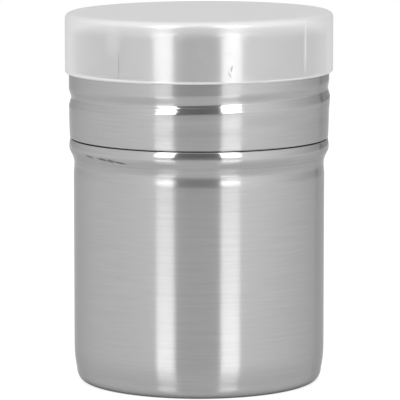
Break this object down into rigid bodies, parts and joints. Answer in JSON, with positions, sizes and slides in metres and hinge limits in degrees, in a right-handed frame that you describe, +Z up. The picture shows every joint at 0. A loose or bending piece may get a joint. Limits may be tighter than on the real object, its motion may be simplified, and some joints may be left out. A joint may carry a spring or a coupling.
{
  "type": "stainless spice shaker",
  "caption": "Stainless shaker for spice or sugar: drawn cup, screwed lid with a mesh sieve under its lip, and a frosted push-on plastic cap.",
  "frame": {"origin": "centre of the cup's base, on the surface that it stands on", "axes": "+Z up along the shaker's axis; +X to the right of someone who looks at its front along +Y"},
  "size_m": [0.0684, 0.0684, 0.095],
  "materials": {
    "cup_steel": "satin, brushed round the body, with a polished bead",
    "lid_steel": "satin, with a polished thread",
    "ring_steel": "bright rolled sheet",
    "wire_steel": "fine drawn wire",
    "cap_plastic": "translucent frosted polypropylene"
  },
  "bodies": {
    "cup": {"cup": "cup_steel"},
    "sieve": {"sieve_mesh": "wire_steel", "sieve_ring": "ring_steel"},
    "lid": {"lid": "lid_steel"},
    "cap": {"cap": "cap_plastic"}
  },
  "joints": [
    {"name": "lid_rise", "type": "slide", "parent": "cup", "child": "sieve", "axis": [0, 0, 1], "range_m": [0, 0.0071]},
    {"name": "lid_turn", "type": "hinge", "parent": "sieve", "child": "lid", "pos_m": [0, 0, 0.078], "axis": [0, 0, 1], "range_deg": [0, 510]},
    {"name": "cap_lift", "type": "slide", "parent": "lid", "child": "cap", "axis": [0, 0, 1], "range_m": [0, 0.06]}
  ],
  "couplings": [
    {"joint": "lid_rise", "follows": "lid_turn", "m_per_rad": 0.00079577}
  ]
}
